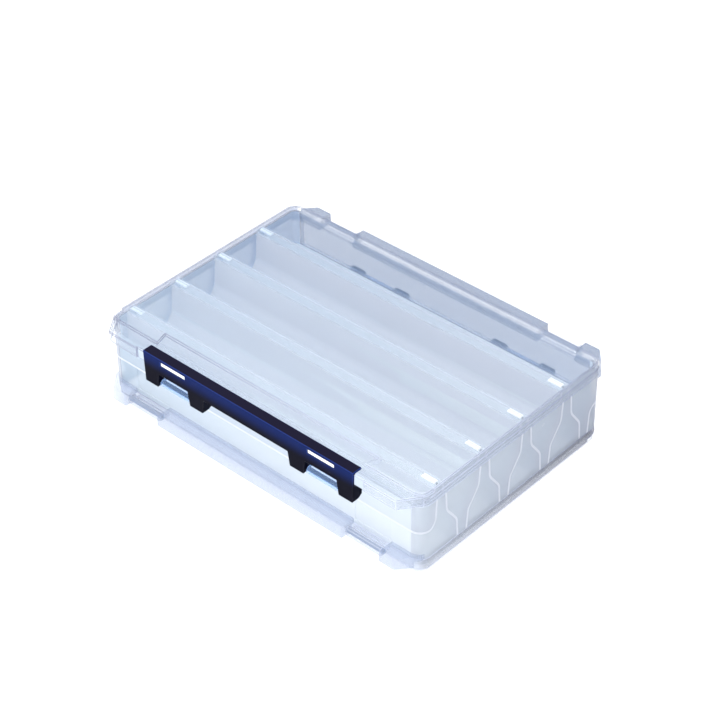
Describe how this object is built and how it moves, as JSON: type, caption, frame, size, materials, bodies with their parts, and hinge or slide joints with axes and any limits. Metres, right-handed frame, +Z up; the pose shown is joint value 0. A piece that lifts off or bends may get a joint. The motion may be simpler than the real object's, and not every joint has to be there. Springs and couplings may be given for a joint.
{
  "type": "double-sided lure case",
  "caption": "Clear flat plastic case for fishing lures, with lanes that open upwards and downwards in turn, a hinged lid on each face and a long dark blue latch on each lid.",
  "frame": {"origin": "centre of the resting face, at the bottom of the case", "axes": "+X along the hinges and the lanes, -Y towards the upper lid's latch, +Z up; half a turn about the X axis through the middle of the case maps it onto itself"},
  "size_m": [0.255, 0.19, 0.06],
  "materials": {
    "clear_body": "clear polypropylene, faintly blue, moulded smooth",
    "clear_lid": "clear polypropylene, faintly blue, moulded smooth",
    "latch_blue": "dark navy plastic, satin gloss"
  },
  "bodies": {
    "case": {"front_wall": "clear_body", "rear_wall": "clear_body", "left_end_wall": "clear_body", "right_end_wall": "clear_body", "lane_wall_1": "clear_body", "lane_wall_2": "clear_body", "lane_wall_3": "clear_body", "lane_wall_4": "clear_body", "lane_wall_5": "clear_body", "lane_wall_6": "clear_body", "lane_wall_7": "clear_body", "lane_wall_8": "clear_body", "lane_wall_9": "clear_body", "upper_ridge_1": "clear_body", "upper_ridge_2": "clear_body", "upper_ridge_3": "clear_body", "upper_ridge_4": "clear_body", "lower_ridge_1": "clear_body", "lower_ridge_2": "clear_body", "lower_ridge_3": "clear_body", "lower_ridge_4": "clear_body", "front_hinge_rail": "clear_body", "rear_hinge_rail": "clear_body", "front_latch_lugs": "clear_body", "rear_latch_lugs": "clear_body"},
    "upper_lid": {"upper_lid_panel": "clear_lid", "upper_lid_rim": "clear_lid", "upper_lid_hooks": "clear_lid"},
    "lower_lid": {"lower_lid_panel": "clear_lid", "lower_lid_rim": "clear_lid", "lower_lid_hooks": "clear_lid"},
    "upper_latch": {"upper_latch": "latch_blue"},
    "lower_latch": {"lower_latch": "latch_blue"}
  },
  "joints": [
    {"name": "upper_lid_hinge", "type": "hinge", "parent": "case", "child": "upper_lid", "pos_m": [0, 0.09, 0.0504], "axis": [-1, 0, 0], "range_deg": [0, 180]},
    {"name": "lower_lid_hinge", "type": "hinge", "parent": "case", "child": "lower_lid", "pos_m": [0, -0.09, 0.0096], "axis": [-1, 0, 0], "range_deg": [0, 180]},
    {"name": "upper_latch_pivot", "type": "hinge", "parent": "case", "child": "upper_latch", "pos_m": [0, -0.09065, 0.0399], "axis": [1, 0, 0], "range_deg": [0, 110]},
    {"name": "lower_latch_pivot", "type": "hinge", "parent": "case", "child": "lower_latch", "pos_m": [0, 0.09065, 0.0201], "axis": [1, 0, 0], "range_deg": [0, 110]}
  ],
  "couplings": [
    {"joint": "upper_latch_pivot", "follows": "upper_lid_hinge", "ratio": 0.6},
    {"joint": "lower_latch_pivot", "follows": "lower_lid_hinge", "ratio": 0.6}
  ]
}
